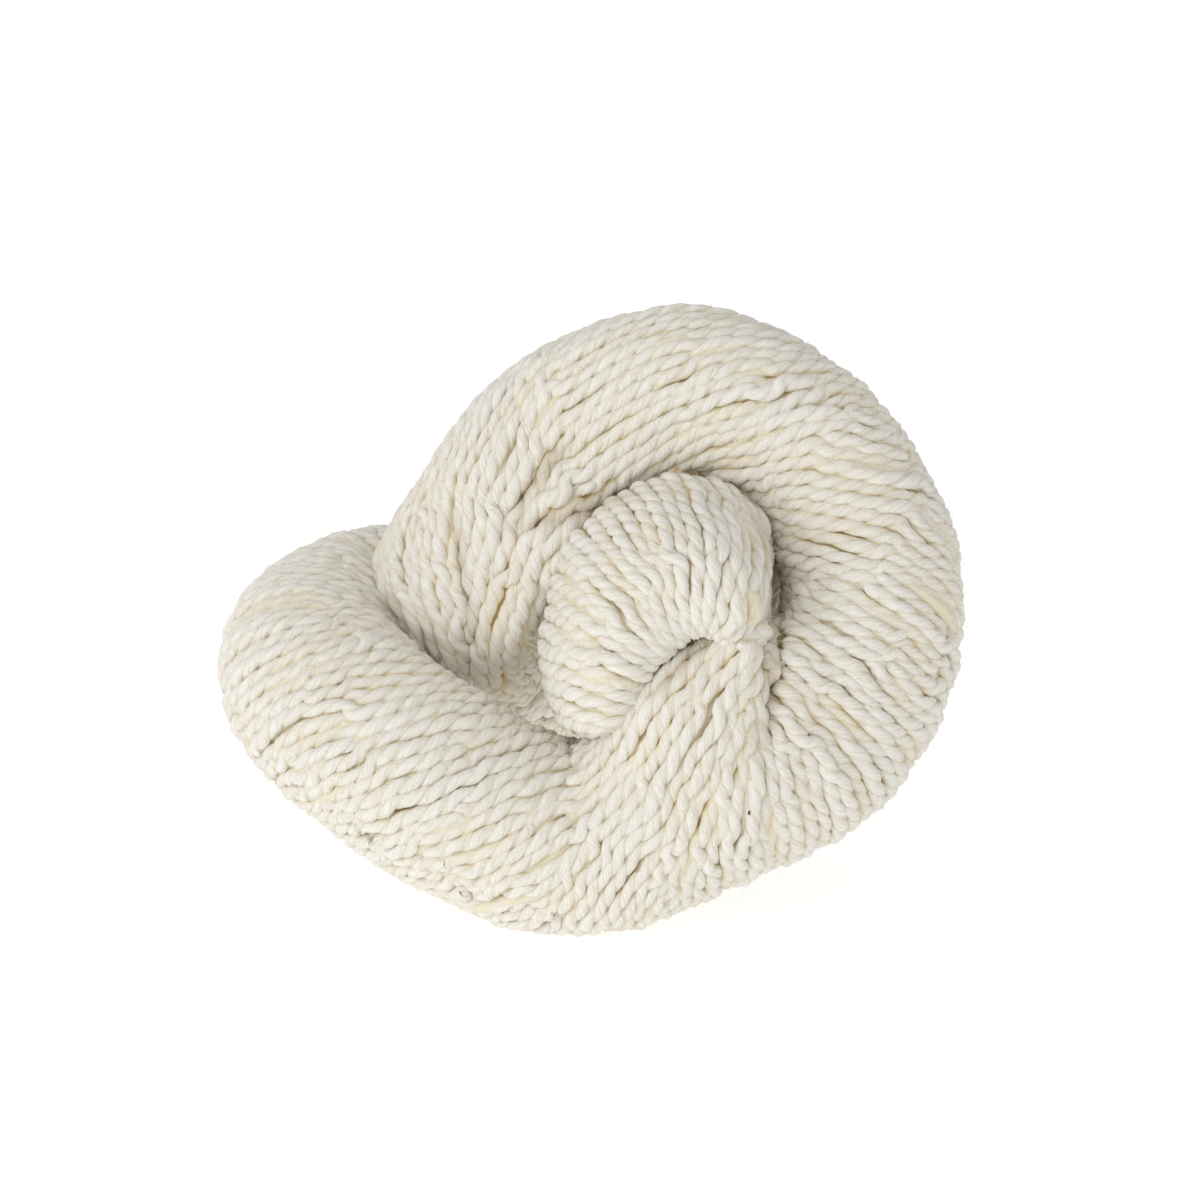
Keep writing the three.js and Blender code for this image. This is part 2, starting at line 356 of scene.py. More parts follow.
def spreadStrands(skin, settings, random):  # lays strands side by side over a skin until it is full
    gap = settings["gap"]
    cells = {}
    paths = []
    waiting = []

    def crowded(point, row, least):  # whether a strand's spot is nearer than least
        x, y, z = (int(value // gap) for value in point)
        px, py, pz = point
        least = least * least
        for i in (x - 1, x, x + 1):
            for j in (y - 1, y, y + 1):
                for k in (z - 1, z, z + 1):
                    for qx, qy, qz, other in cells.get((i, j, k), ()):
                        if abs(other - row) < settings["sameSide"]:
                            if (px - qx) ** 2 + (py - qy) ** 2 + (pz - qz) ** 2 < least:
                                return True
        return False

    def walk(row, column, heading):  # one way from a seed, to where it meets another strand or is hidden
        steps = []
        spare = settings["tuck"]
        ending = False
        while len(steps) < settings["longest"]:
            here = skin.look(row, column)
            point = here[:3]
            if not ending:
                closest = settings["closest"] * gap
                if skin.pinch:
                    closest *= min(1, settings["pinchLeast"] + row / settings["pinchRows"])
                meets = here[10] < 0.5 or crowded(point.tolist(), row, closest)
                meets = meets or row < 1 or row > skin.rows - 3
                if meets:
                    ending = True
            if ending:
                spare -= 1
                if spare < 0 or row < 0.5 or row > skin.rows - 2:
                    break
            steps.append((point, here[3:6], row, column, ending))
            for half in (0.5, 1):  # a midpoint step
                lay = 0.5 * math.atan2(here[7], here[6])
                way = (math.cos(lay), -math.sin(lay))
                if way[0] * heading[0] + way[1] * heading[1] < 0:
                    way = (-way[0], -way[1])
                size = settings["step"] * half
                nextRow = row + way[0] / here[8] * size
                nextColumn = column + way[1] / here[9] * size
                if half < 1:
                    here = skin.look(nextRow, nextColumn)
            heading = way
            row, column = nextRow, nextColumn
        return steps

    def lay(row, column):  # a strand both ways from a seed, unless it would be crowded or short
        here = skin.look(row, column)
        if here[10] < 0.5 or crowded(here[:3].tolist(), row, settings["seedGap"] * gap):
            return
        angle = 0.5 * math.atan2(here[7], here[6])
        heading = (math.cos(angle), -math.sin(angle))
        ahead = walk(row, column, heading)
        behind = walk(row, column, (-heading[0], -heading[1]))
        path = behind[:0:-1] + ahead
        shown = [spot for spot in path if not spot[4]]
        if len(shown) * settings["step"] < settings["shortest"]:
            return
        paths.append(path)
        for point, normal, spotRow, spotColumn, ending in shown:
            x, y, z = point.tolist()
            key = (int(x // gap), int(y // gap), int(z // gap))
            cells.setdefault(key, []).append((x, y, z, spotRow))
        waiting.extend(shown[:: settings["seedEvery"]])

    lay(*settings["firstSeed"])
    for column in range(0, skin.columns, settings["pinchSeedEvery"]) if skin.pinch else [0]:
        lay(settings["pinchSeedRow"], float(column))
    rest = random.permutation(skin.rows * skin.columns)
    place = 0
    while True:
        while waiting:
            point, normal, row, column, ending = waiting.pop(0)
            here = skin.look(row, column)
            angle = 0.5 * math.atan2(here[7], here[6])
            for side in (-1, 1):
                nextRow = row - side * math.sin(angle) / here[8] * gap
                nextColumn = column - side * math.cos(angle) / here[9] * gap
                if 1 < nextRow < skin.rows - 3:
                    lay(nextRow, nextColumn)
        while place < len(rest) and not waiting:
            row, column = divmod(int(rest[place]), skin.columns)
            place += 1
            if 1 < row < skin.rows - 3 and skin.shows[row, column]:
                lay(float(row), float(column))
        if not waiting:
            break
    return paths


even = {
    "reach": 4.4,  # how far neighbours are looked for
    "abreast": 0.55,  # how far ahead a neighbour's spot may be
    "level": 1.3,  # and how far above or below
    "rounds": 50,
    "share": 0.45,
    "openSide": 1.15,  # spaces counted where there is no neighbour
    "ownSpots": 12,  # nearer spots of the same strand don't count
    "sameFacing": 0.3,  # nor does what faces another way
    "moveBlur": 3,
    "roomBlur": 6,
    "thinnest": 0.82,
    "thickest": 1.28,
}


def blur(values, inside, times):  # smooths values along the strands
    for time in range(times):
        before = np.where(inside, np.roll(values, 1), values)
        after = np.where(np.roll(inside, -1), np.roll(values, -1), values)
        values = (before + 2 * values + after) / 4
    return values


def evenOut(paths, settings):  # spreads the strands evenly side by side, and finds how much room each has
    points = np.array([spot[0] for path in paths for spot in path])
    normals = unit(np.array([spot[1] for path in paths for spot in path]))
    ending = np.array([spot[4] for path in paths for spot in path])
    strand = np.repeat(np.arange(len(paths)), [len(path) for path in paths])
    inside = np.concatenate([[False], strand[1:] == strand[:-1]])  # the spot before is of the same strand
    tree = KDTree(len(points))
    for k, point in enumerate(points.tolist()):
        tree.insert(point, k)
    tree.balance()
    here, there = [], []
    for k, point in enumerate(points.tolist()):
        near = []
        for place, other, apart in tree.find_range(point, settings["reach"]):
            if strand[other] != strand[k] or abs(other - k) > settings["ownSpots"]:
                near.append(other)
        here.extend([k] * (len(near) + 1))
        there.extend(near + [k])
    here, there = np.array(here), np.array(there)
    starts = np.flatnonzero(np.concatenate([[True], here[1:] != here[:-1]]))
    counts = (normals[here] * normals[there]).sum(1) > settings["sameFacing"]
    counts &= ~ending[there] & (here != there)
    openSide = settings["openSide"] * laying["gap"]
    for time in range(settings["rounds"] + 1):
        ahead = np.where(np.roll(inside, -1)[:, None], np.roll(points, -1, 0), points)
        behind = np.where(inside[:, None], np.roll(points, 1, 0), points)
        along = unit(ahead - behind)
        side = unit(np.cross(along, normals))
        apart = points[there] - points[here]
        across = (apart * side[here]).sum(1)
        abreast = counts & (np.abs((apart * along[here]).sum(1)) < settings["abreast"])
        abreast &= np.abs((apart * normals[here]).sum(1)) < settings["level"]
        left = np.minimum.reduceat(np.where(abreast & (across > 0), across, openSide), starts)
        right = np.minimum.reduceat(np.where(abreast & (across < 0), -across, openSide), starts)
        if time < settings["rounds"]:
            move = blur((left - right) / 2 * settings["share"], inside, settings["moveBlur"])
            points = points + side * move[:, None]
    room = blur((left + right) / 2 / laying["gap"], inside, settings["roomBlur"])
    room = np.clip(room, settings["thinnest"], settings["thickest"])
    spread = []
    place = 0
    for path in paths:
        until = place + len(path)
        rows = np.array([spot[2] for spot in path])
        spread.append((points[place:until], normals[place:until], rows, room[place:until]))
        place = until
    return spread


# One strand is two plies in an S twist: a section of two lobes that turns along the strand

yarn = {
    "wide": 1.56,  # from the strand's middle, across both plies
    "narrow": 1.33,  # where the plies meet, but for the notch between them
    "notch": 0.3,
    "notchWidth": 0.28,
    "rough": 0.045,
    "plain": 1.5,  # a strand below the outer ones, which has no plies
    "leastTwisted": 8,  # points round a section that shows its plies
    "quarters": {  # where the points of half a section are, in degrees
        12: (0, 38, 67, 90, 113, 142),
        8: (0, 50, 90, 130),
        6: (0, 55, 90),
    },
    "pitch": 8.0,  # for a full turn of the plies
    "flatten": 0.84,  # across the skin
    "wander": 0.22,  # sideways
    "wanderLengths": (14, 50),
    "lift": 0.2,  # up and down
    "liftLengths": (18, 60),
    "strandLift": 0.17,
    "twist": 0.25,  # of the plies, in radians
    "twistLengths": (20, 60),
    "swell": 0.06,  # share of its thickness
    "swellLengths": (10, 40),
    "dive": 2.1,  # of a tucked end
    "diveLength": 5.0,
    "tip": 1.6,  # length over which an end closes
    "tipLeast": 0.01,
}


def wave(length, random, size, shortest, longest):  # a slow random wave along a strand
    total = np.zeros_like(length)
    for part in range(3):
        wavelength = random.uniform(shortest, longest)
        total += math.sqrt(2 / 3) * np.sin(turn * (length / wavelength + random.uniform()))
    return total * size


def smoothStep(share):
    share = np.clip(share, 0, 1)
    return share * share * (3 - 2 * share)


def strandRings(points, normals, room, detail, random):  # a strand's sections along its line
    step, around = detail
    rough = np.concatenate([[0], np.cumsum(np.linalg.norm(np.diff(points, axis=0), axis=1))])
    count = max(6, int(rough[-1] / step))
    length = np.linspace(0, rough[-1], count)
    at = np.interp(length, rough, np.arange(len(points)))
    line = catmullRom(points, at, False)
    up = unit(catmullRom(normals, at, False))
    along = unit(np.gradient(line, axis=0))
    up = unit(up - along * (up * along).sum(1, keepdims=True))
    side = np.cross(along, up)
    level = random.normal() * yarn["strandLift"] + wave(length, random, yarn["lift"], *yarn["liftLengths"])
    lift = level
    for left in (length, length[-1] - length):
        lift = lift - yarn["dive"] * (1 - smoothStep(left / yarn["diveLength"]))
    wander = wave(length, random, yarn["wander"], *yarn["wanderLengths"])
    line = line + up * lift[:, None] + side * wander[:, None]
    along = unit(np.gradient(line, axis=0))
    up = unit(up - along * (up * along).sum(1, keepdims=True))
    side = np.cross(along, up)
    phase = random.uniform() * turn - turn * length / yarn["pitch"]
    phase = phase + wave(length, random, yarn["twist"], *yarn["twistLengths"])
    quarter = np.array(yarn["quarters"][around])
    angles = np.radians(np.concatenate([quarter, quarter + 180]))
    reach = yarn["wide"] * np.cos(angles) ** 2 + yarn["narrow"] * np.sin(angles) ** 2
    reach = reach - yarn["notch"] * np.exp(-((np.cos(angles) / yarn["notchWidth"]) ** 2))
    if around < yarn["leastTwisted"]:
        phase = phase * 0
        reach = reach * 0 + yarn["plain"]
    swell = 1 + wave(length, random, yarn["swell"], *yarn["swellLengths"])
    swell = swell * np.interp(at, np.arange(len(points)), room)
    closing = np.minimum(length, length[-1] - length) / yarn["tip"]
    swell = swell * np.sqrt(np.clip(1 - (1 - np.clip(closing, 0, 1)) ** 2, yarn["tipLeast"], 1))
    turned = angles[None] + phase[:, None]
    reach = reach + random.normal(size=(count, around)) * yarn["rough"]
    high = np.cos(turned) * reach * swell[:, None] * yarn["flatten"]
    wide = np.sin(turned) * reach * swell[:, None]
    rings = line[:, None] + up[:, None] * high[..., None] + side[:, None] * wide[..., None]
    return rings, length, level[:, None] + high


def strandsMesh(name, strands):  # joins strands into one piece
    pointsList, facesList, mapList, heightList, toneList, shadeList = [], [], [], [], [], []
    base = 0
    for rings, length, height, tone in strands:
        count, around = rings.shape[:2]
        index = base + np.arange(count * around).reshape(count, around)
        nextIndex = np.roll(index, -1, 1)
        quads = np.stack([index[:-1], index[1:], nextIndex[1:], nextIndex[:-1]], 2).reshape(-1, 4)
        first = base + count * around
        ends = []
        for ring, tipPoint, flip in ((index[0], first, False), (index[-1], first + 1, True)):
            fan = np.stack([ring, np.roll(ring, -1), np.full(around, tipPoint)], 1)
            ends.append(fan[:, ::-1] if flip else fan)
        pointsList.append(rings.reshape(-1, 3))
        pointsList.append(np.stack([rings[0].mean(0), rings[-1].mean(0)]))
        facesList.append((quads, np.concatenate(ends)))
        quarter = np.radians(yarn["quarters"][around])
        bearing = np.tile(np.concatenate([quarter, quarter + math.pi]), count)
        spots = np.stack([np.repeat(length, around), np.cos(bearing), np.sin(bearing)], 1)
        mapList.append(np.concatenate([spots, [(0, 0, 0), (length[-1], 0, 0)]]))
        heightList.append(np.append(height.reshape(-1), (height[0].mean(), height[-1].mean())))
        shadeList.append(creaseShade(np.concatenate(pointsList[-2:])))
        toneList.append(np.full(count * around + 2, tone))
        base += count * around + 2
    points = np.concatenate(pointsList) * metre
    quads = np.concatenate([pair[0] for pair in facesList])
    triangles = np.concatenate([pair[1] for pair in facesList])
    mesh = bpy.data.meshes.new(name)
    mesh.vertices.add(len(points))
    mesh.vertices.foreach_set("co", points.astype(np.float32).ravel())
    corners = np.concatenate([quads.ravel(), triangles.ravel()])
    mesh.loops.add(len(corners))
    mesh.loops.foreach_set("vertex_index", corners.astype(np.int32))
    sizes = np.concatenate([np.full(len(quads), 4), np.full(len(triangles), 3)])
    mesh.polygons.add(len(sizes))
    starts = np.concatenate([[0], np.cumsum(sizes)[:-1]])
    mesh.polygons.foreach_set("loop_start", starts.astype(np.int32))
    mesh.polygons.foreach_set("use_smooth", np.ones(len(sizes), bool))
    mesh.update(calc_edges=True)
    places = mesh.attributes.new("strandMap", "FLOAT_VECTOR", "POINT")
    places.data.foreach_set("vector", np.concatenate(mapList).astype(np.float32).ravel())
    tones = mesh.attributes.new("strandTone", "FLOAT", "POINT")
    tones.data.foreach_set("value", np.concatenate(toneList).astype(np.float32))
    shades = mesh.attributes.new("creaseShade", "FLOAT", "POINT")
    shades.data.foreach_set("value", np.concatenate(shadeList).astype(np.float32))
    heights = mesh.attributes.new("strandHeight", "FLOAT", "POINT")
    heights.data.foreach_set("value", np.concatenate(heightList).astype(np.float32))
    mesh.validate()
    piece = bpy.data.objects.new(name, mesh)
    bpy.context.scene.collection.objects.link(piece)
    return piece, 2 * len(quads) + len(triangles)


# The skins, and lines drawn over the picture that give the strands' way on them

lines = {
    "coil": [
        [(560, 520), (667, 461), (734, 432), (801, 408), (855, 405), (895, 413)],  # over the arch
        [(600, 424), (675, 381), (740, 365)],
        [(560, 390), (640, 345), (700, 335)],
        [(633, 494), (690, 470), (753, 462), (840, 455), (905, 470)],
        [(753, 496), (855, 502), (908, 520), (935, 544)],
        [(782, 547), (841, 560), (908, 587), (948, 635)],
        [(779, 586), (817, 619), (895, 654), (935, 692)],
        [(779, 610), (858, 650), (905, 700), (925, 735)],
        [(780, 660), (814, 690), (868, 727), (895, 781)],
        [(777, 700), (801, 733), (841, 781), (855, 808)],
        [(771, 743), (782, 786), (788, 835), (790, 861)],
        [(758, 749), (747, 808), (731, 875)],
        [(721, 690), (680, 768), (627, 848), (573, 915)],
        [(602, 765), (521, 794), (465, 816), (366, 837)],
        [(532, 746), (468, 768), (422, 794), (340, 812)],
        [(543, 703), (495, 711), (436, 717), (382, 725), (350, 738), (307, 768)],
        [(468, 695), (401, 709), (361, 706), (307, 714)],
        [(400, 650), (340, 655), (280, 680), (245, 715)],
        [(307, 612), (259, 626), (227, 660)],
        [(529, 408), (505, 464), (484, 515), (481, 553)],
        [(479, 424), (449, 469), (438, 504), (433, 558), (441, 611), (449, 652)],
        [(430, 480), (405, 520), (395, 570), (410, 620)],
        [(772, 632), (730, 637), (697, 655), (677, 678), (659, 703), (626, 736), (588, 769)],
        [(774, 639), (735, 657), (705, 678), (679, 706), (639, 752), (590, 790)],
        [(776, 650), (748, 675), (730, 706), (702, 752), (664, 803)],
        [(600, 505), (560, 517), (526, 549), (500, 585), (484, 620), (478, 655)],
        [(560, 530), (542, 550), (526, 585), (514, 622), (508, 655)],
        [(548, 575), (535, 610), (528, 650), (530, 680)],
    ],
    "knob": [
        [(691, 639), (700, 599), (690, 553), (677, 504)],
        [(705, 614), (715, 563), (728, 527), (723, 491), (705, 476)],
        [(697, 647), (741, 599), (753, 563), (746, 530), (730, 504)],
        [(748, 637), (766, 604), (772, 573), (764, 542), (748, 522)],
        [(684, 647), (654, 619), (623, 583), (603, 553), (582, 535)],
        [(672, 665), (639, 639), (603, 609), (570, 586)],
        [(656, 675), (623, 655), (582, 632), (547, 619)],
        [(659, 685), (623, 678), (582, 667), (544, 657)],
        [(654, 690), (623, 698), (588, 695), (549, 688)],
        [(639, 713), (613, 718), (582, 716), (552, 708)],
        [(686, 642), (672, 590), (650, 545), (628, 510)],
    ],
}

guides = {
    "every": 10,  # points of the picture between samples of a line
    "leastFacing": 0.22,  # samples on steeper skin don't count
    "soften": 3.0,
    "reach": 22.0,  # beyond this the bundle's own lay is stronger
    "longestStep": 1.0,
}

creases = {
    "every": 4,  # points of the picture between samples of a line
    "grooveEnd": 0.12,  # what is left of a line at its ends
    "shadeEnd": 0.1,
    "behind": -50,  # nothing behind this is shaded
    "coil": [
        {"line": [(516, 510), (532, 486), (552, 462), (575, 440)], "depth": 1.4, "width": 2.6},
        {"line": [(537, 522), (572, 514), (633, 494)], "depth": 1.6, "width": 2.6},
        {"line": [(454, 504), (458, 560), (466, 610), (470, 660)], "depth": 1.5, "width": 2.6},
        {"line": [(775, 573), (777, 620), (774, 675), (767, 752)], "depth": 2.4, "width": 2.2},
    ],
    "shade": [  # lines painted with shade, browner than the gaps around them, and how wide in points of the picture
        {"line": [(516, 512), (530, 488), (550, 464), (572, 444)], "width": 6, "share": 1},
        {"line": [(505, 528), (537, 522), (572, 514), (633, 494)], "width": 6, "share": 1},
        {"line": [(456, 520), (462, 570), (470, 620), (480, 662)], "width": 6, "share": 0.8},
        {"line": [(755, 520), (772, 560), (778, 600), (776, 640)], "width": 6, "share": 0.7},
        {"line": [(776, 632), (774, 660), (773, 690), (770, 722), (764, 752)], "width": 6.5, "share": 1},
        {"line": [(655, 694), (668, 680), (682, 664), (698, 648)], "width": 6, "share": 1},
        {"line": [(375, 600), (410, 628), (445, 645), (480, 664)], "width": 7, "share": 0.6},
    ],
}


def creaseShade(points):  # how near points of the front are to the lines of painted crease shade
    if points[:, 1].min() > creases["behind"]:
        return np.zeros(len(points))
    shade = nearLines(toPicture(points), creases["shade"], "share", creases["shadeEnd"], 1)
    return shade * (points[:, 1] < creases["behind"])


rings = bundleRings()
angles = np.arange(bundle["around"]) / bundle["around"] * turn


def bundleSkin(level, layTurn):  # the bundle's skin at a level below the outside of the strands
    radius = (rings["radius"] - bundle["sink"] - level)[:, None, None]
    points = rings["centre"][:, None] + radius * (
        rings["side"][:, None] * np.cos(angles)[None, :, None]
        + rings["other"][:, None] * np.sin(angles)[None, :, None]
    )
    rest = bundle["floorRest"] + level
    points[..., 2] = rest + np.logaddexp(0, (points[..., 2] - rest) * 2) / 2
    lay = np.repeat(np.radians(rings["lay"] + layTurn)[:, None], bundle["around"], 1)
    skin = Skin(points, lay)
    push(skin, pushes, 1 if level == topLevel else bundle["underPush"])
    groove(skin, creases["coil"])
    found = guideLay(skin, lines["coil"], guides)
    print("bundle skin at", level, "guided by", found, "places")
    spare = level - topLevel
    if level == topLevel:
        apart = np.linalg.norm(skin.points - pinchAt, axis=2)
        spare = bundle["pinchSpare"] * np.exp(-((apart / bundle["pinchReach"]) ** 2))
    skin.shows = depthInside(skin) < bundle["hiddenBelow"] + spare
    skin.pack()
    return skin


knob = {
    "pinch": (14.5, -6, 45.5),
    "seamHalf": 4.5,  # the pinch is a short seam
    "seamAngle": 43,  # degrees up from the right
    "reach": [14, 16.5, 25, 28, 26, 23.5, 22.5, 23, 16.5, 12, 10, 10],  # every 30 degrees from the right
    "swell": [0.3, 0.72, 1, 1, 1, 1, 1, 0.85, 0.45, 0, 0, 0],  # share of front, every 30 degrees
    "out": [0, 0.16, 0.36, 0.58, 0.78, 0.93, 1.01, 1.03, 0.9, 0.6, 0],  # share of reach, from the pinch back
    "front": [4.5, 8.5, 11, 11, 9, 4, 0, 0, 0, 0, 0],  # how far the knob swells forwards there
    "depth": [-6, -7, -7, -6.5, -5.5, -3.5, 0, 7, 15, 20, 22],  # and how far back it is otherwise
    "rows": 72,
    "around": 96,
    "last": 0.9,  # share of the profile that is laid with strands
    "collarEdge": [  # below this line of the picture the collar hides the knob
        (560, 812),
        (606, 770),
        (636, 746),
        (668, 716),
        (688, 690),
        (706, 666),
        (736, 640),
        (780, 622),
    ],
    "collarBehind": 8,
    "sooner": 12,  # how far before that line, and from the pinch, the layer below stops
    "hiddenBelow": 6,
}
pinchAt = np.array(knob["pinch"]) + bundle["shift"]


def roundRow(values, share):  # a smooth line through values that go round
    values = np.asarray(values, float)
    at = share * len(values)
    padded = np.concatenate([values[-2:], values, values[:3]])
    return catmullRom(np.stack([padded, padded * 0], 1), at + 2, False)[:, 0]


def profileRow(values, share):  # the same from the first value to the last
    rows = np.stack([values, np.zeros(len(values))], 1)
    return catmullRom(rows, share * (len(values) - 1), False)[:, 0]


def knobSkin(level, layTurn):  # the knob's skin, in rings from the pinch outwards
    down = np.linspace(0, knob["last"], knob["rows"])
    share = -np.arange(knob["around"]) / knob["around"] % 1  # clockwise, so that the normals point out
    out = profileRow(knob["out"], down)[:, None]
    front = profileRow(knob["front"], down)[:, None]
    depth = profileRow(knob["depth"], down)[:, None]
    reach = roundRow(knob["reach"], share)[None]
    swell = roundRow(knob["swell"], share)[None]
    seamAngle = math.radians(knob["seamAngle"])
    seam = (1 - np.clip(out, 0, 1)) * knob["seamHalf"] * np.cos(turn * share - seamAngle)
    x = knob["pinch"][0] + reach * out * np.cos(turn * share) + seam * math.cos(seamAngle)
    y = depth - front * swell
    z = knob["pinch"][2] + reach * out * np.sin(turn * share) + seam * math.sin(seamAngle)
    points = np.stack([x, y, z], 2) + bundle["shift"]
    skin = Skin(points, np.zeros(points.shape[:2]) + math.radians(layTurn))
    skin.points = skin.points - skin.normal * (level + bundle["sink"])
    skin.measure()
    found = guideLay(skin, lines["knob"], guides)
    print("knob skin at", level, "guided by", found, "places")
    edge = np.array(knob["collarEdge"], float)
    spots = toPicture(skin.points)
    sooner = 0 if level == topLevel else knob["sooner"]
    low = spots[..., 1] > np.interp(spots[..., 0], edge[:, 0], edge[:, 1]) - sooner
    low &= skin.points[..., 1] < knob["collarBehind"] + bundle["shift"][1]
    skin.shows = (depthInside(skin) < knob["hiddenBelow"] + level - topLevel) & ~low
    skin.shows[:sooner] = False
    skin.pinch = True
    skin.pack()
    return skin


laying = {
    "gap": 2.62,  # between the middles of neighbours
    "closest": 0.6,  # share of the gap at which a strand ends
    "seedGap": 0.7,  # and at which none starts
    "step": 0.8,
    "tuck": 5,  # steps that an end goes on below its neighbours
    "longest": 400,
    "shortest": 6,
    "seedEvery": 3,
    "sameSide": 22,  # rings between two places that are neighbours on the skin
    "firstSeed": (200.0, 20.0),
    "pinchSeedRow": 9.0,
    "pinchSeedEvery": 4,
    "pinchRows": 26,  # rings over which strands that meet at the pinch may lie closer
    "pinchLeast": 0.15,
}
knobPlace = {"firstSeed": (30.0, 40.0), "sameSide": 999}
knobLaying = {**laying, **knobPlace, "gap": 2.8, "closest": 0.5, "shortest": 3.5}
underLaying = {**laying, "gap": 2.9}
underTurn = {"bundle": 10, "knob": 14}  # degrees from the lay of the strands above

top = bundleSkin(topLevel, 0)
coilPaths = spreadStrands(top, laying, np.random.default_rng(11))
print("bundle strands", len(coilPaths), sum(map(len, coilPaths)) * laying["step"] / 1000, "m")
knobTop = knobSkin(topLevel, 0)
knobPaths = spreadStrands(knobTop, knobLaying, np.random.default_rng(12))
print("knob strands", len(knobPaths), sum(map(len, knobPaths)) * laying["step"] / 1000, "m")
under = bundleSkin(underLevel, underTurn["bundle"])
underPaths = spreadStrands(under, underLaying, np.random.default_rng(13))
knobUnder = knobSkin(underLevel, underTurn["knob"])
knobUnderPaths = spreadStrands(knobUnder, {**underLaying, **knobPlace}, np.random.default_rng(14))
print("under strands", len(underPaths), len(knobUnderPaths))


details = {  # length of a step along a strand, and points round it
    "coil": {"front": (0.68, 12), "back": (1.5, 8)},
    "knob": {"front": (0.68, 12), "back": (1.2, 8)},
    "under": {"front": (2.2, 6), "back": (2.8, 6)},
}
mostTriangles = 185000  # in one piece


def dress(paths, kind, random):  # makes the strands' sections, in order along the skin
    strands = []
    for points, normals, rows, room in evenOut(paths, even):
        detail = details[kind]["front" if points[:, 1].min() < frontLimit else "back"]
        sections, length, height = strandRings(points, normals, room, detail, random)
        strands.append((rows.mean(), (sections, length, height, random.uniform())))
    strands.sort(key=lambda pair: pair[0])
    return strands


def splitPieces(name, strands):  # joins neighbouring strands into pieces
    pieces = []
    batch = []
    weight = 0
    for row, strand in strands:
        count, around = strand[0].shape[:2]
        size = 2 * count * around
        if weight + size > mostTriangles:
            pieces.append(strandsMesh(f"{name}_{len(pieces) + 1}", batch))
            batch = []
            weight = 0
        batch.append(strand)
        weight += size
    pieces.append(strandsMesh(f"{name}_{len(pieces) + 1}", batch))
    for piece, size in pieces:
        print(piece.name, size, "triangles")
    return [piece for piece, size in pieces]


underPieces = splitPieces("underStrands", dress(underPaths, "under", np.random.default_rng(23)))
knobUnderPieces = splitPieces("knobUnder", dress(knobUnderPaths, "under", np.random.default_rng(24)))

# Loose fibres stand off the strands

fuzz = {
    "front": 4200,
    "back": 1200,
    "thick": 0.05,
    "taper": 0.6,
    "shortest": 0.9,
    "longest": 3.2,
    "stand": (0.35, 1),  # off the strand
    "lean": 1.6,  # along the strand
    "stray": 0.35,
    "bend": 0.45,
    "rooted": 0.15,  # how deep a fibre starts
    "segments": 3,
    "leastHeight": 0.35,  # above the middle of the outer strands
}


def looseFibres(name, strands, settings, random):  # thin three-sided hairs, rooted in the outer strands
    roots, ways, sides = [], [], []
    for row, (sections, length, height, tone) in strands:
        middle = sections.mean(1, keepdims=True)
        out = unit(sections - middle)
        along = unit(np.gradient(middle[:, 0], axis=0))[:, None] + out * 0
        high = height > settings["leastHeight"]
        roots.append(sections[high])
        ways.append(out[high])
        sides.append(along[high])
    roots, ways, sides = (np.concatenate(part) for part in (roots, ways, sides))
    front = roots[:, 1] < frontLimit
    picks = []
    for mask, count in ((front, settings["front"]), (~front, settings["back"])):
        picks.append(random.choice(np.flatnonzero(mask), count, replace=False))
    picks = np.concatenate(picks)
    count = len(picks)
    root, out, along = roots[picks], ways[picks], sides[picks]
    lean = random.uniform(-settings["lean"], settings["lean"], (count, 1))
    way = out * random.uniform(*settings["stand"], (count, 1)) + along * lean
    way = unit(way + random.normal(size=(count, 3)) * settings["stray"])
    bend = unit(random.normal(size=(count, 3)) - way * 0.1)
    size = random.uniform(size=(count, 1)) ** 2
    size = settings["shortest"] + (settings["longest"] - settings["shortest"]) * size
    share = np.linspace(0, 1, settings["segments"] + 1)[None, :, None]
    line = way[:, None] * share + bend[:, None] * share**2 * settings["bend"]
    line = root[:, None] - way[:, None] * settings["rooted"] + size[:, None] * line
    first = unit(np.cross(way, bend))
    second = np.cross(way, first)
    thick = settings["thick"] * (1 - settings["taper"] * share)
    spots = []
    for k in range(3):
        angle = turn * k / 3
        spots.append(line + thick * (first[:, None] * math.cos(angle) + second[:, None] * math.sin(angle)))
    spots = np.stack(spots, 2)
    index = np.arange(spots[..., 0].size).reshape(count, -1, 3)
    after = np.roll(index, -1, 2)
    quads = np.stack([index[:, :-1], after[:, :-1], after[:, 1:], index[:, 1:]], 3).reshape(-1, 4)
    caps = np.concatenate([index[:, 0, ::-1], index[:, -1]])
    mesh = bpy.data.meshes.new(name)
    mesh.from_pydata((spots.reshape(-1, 3) * metre).tolist(), [], quads.tolist() + caps.tolist())
    mesh.update()
    piece = bpy.data.objects.new(name, mesh)
    bpy.context.scene.collection.objects.link(piece)
    print(name, 2 * len(quads) + len(caps), "triangles")
    return piece


coilDressed = dress(coilPaths, "coil", np.random.default_rng(21))
knobDressed = dress(knobPaths, "knob", np.random.default_rng(22))
coilPieces = splitPieces("coilStrands", coilDressed)
knobPieces = splitPieces("knobStrands", knobDressed)
fibres = looseFibres("looseFibres", coilDressed + knobDressed, fuzz, np.random.default_rng(31))

# The heart of the hank, which closes the gaps between the strands

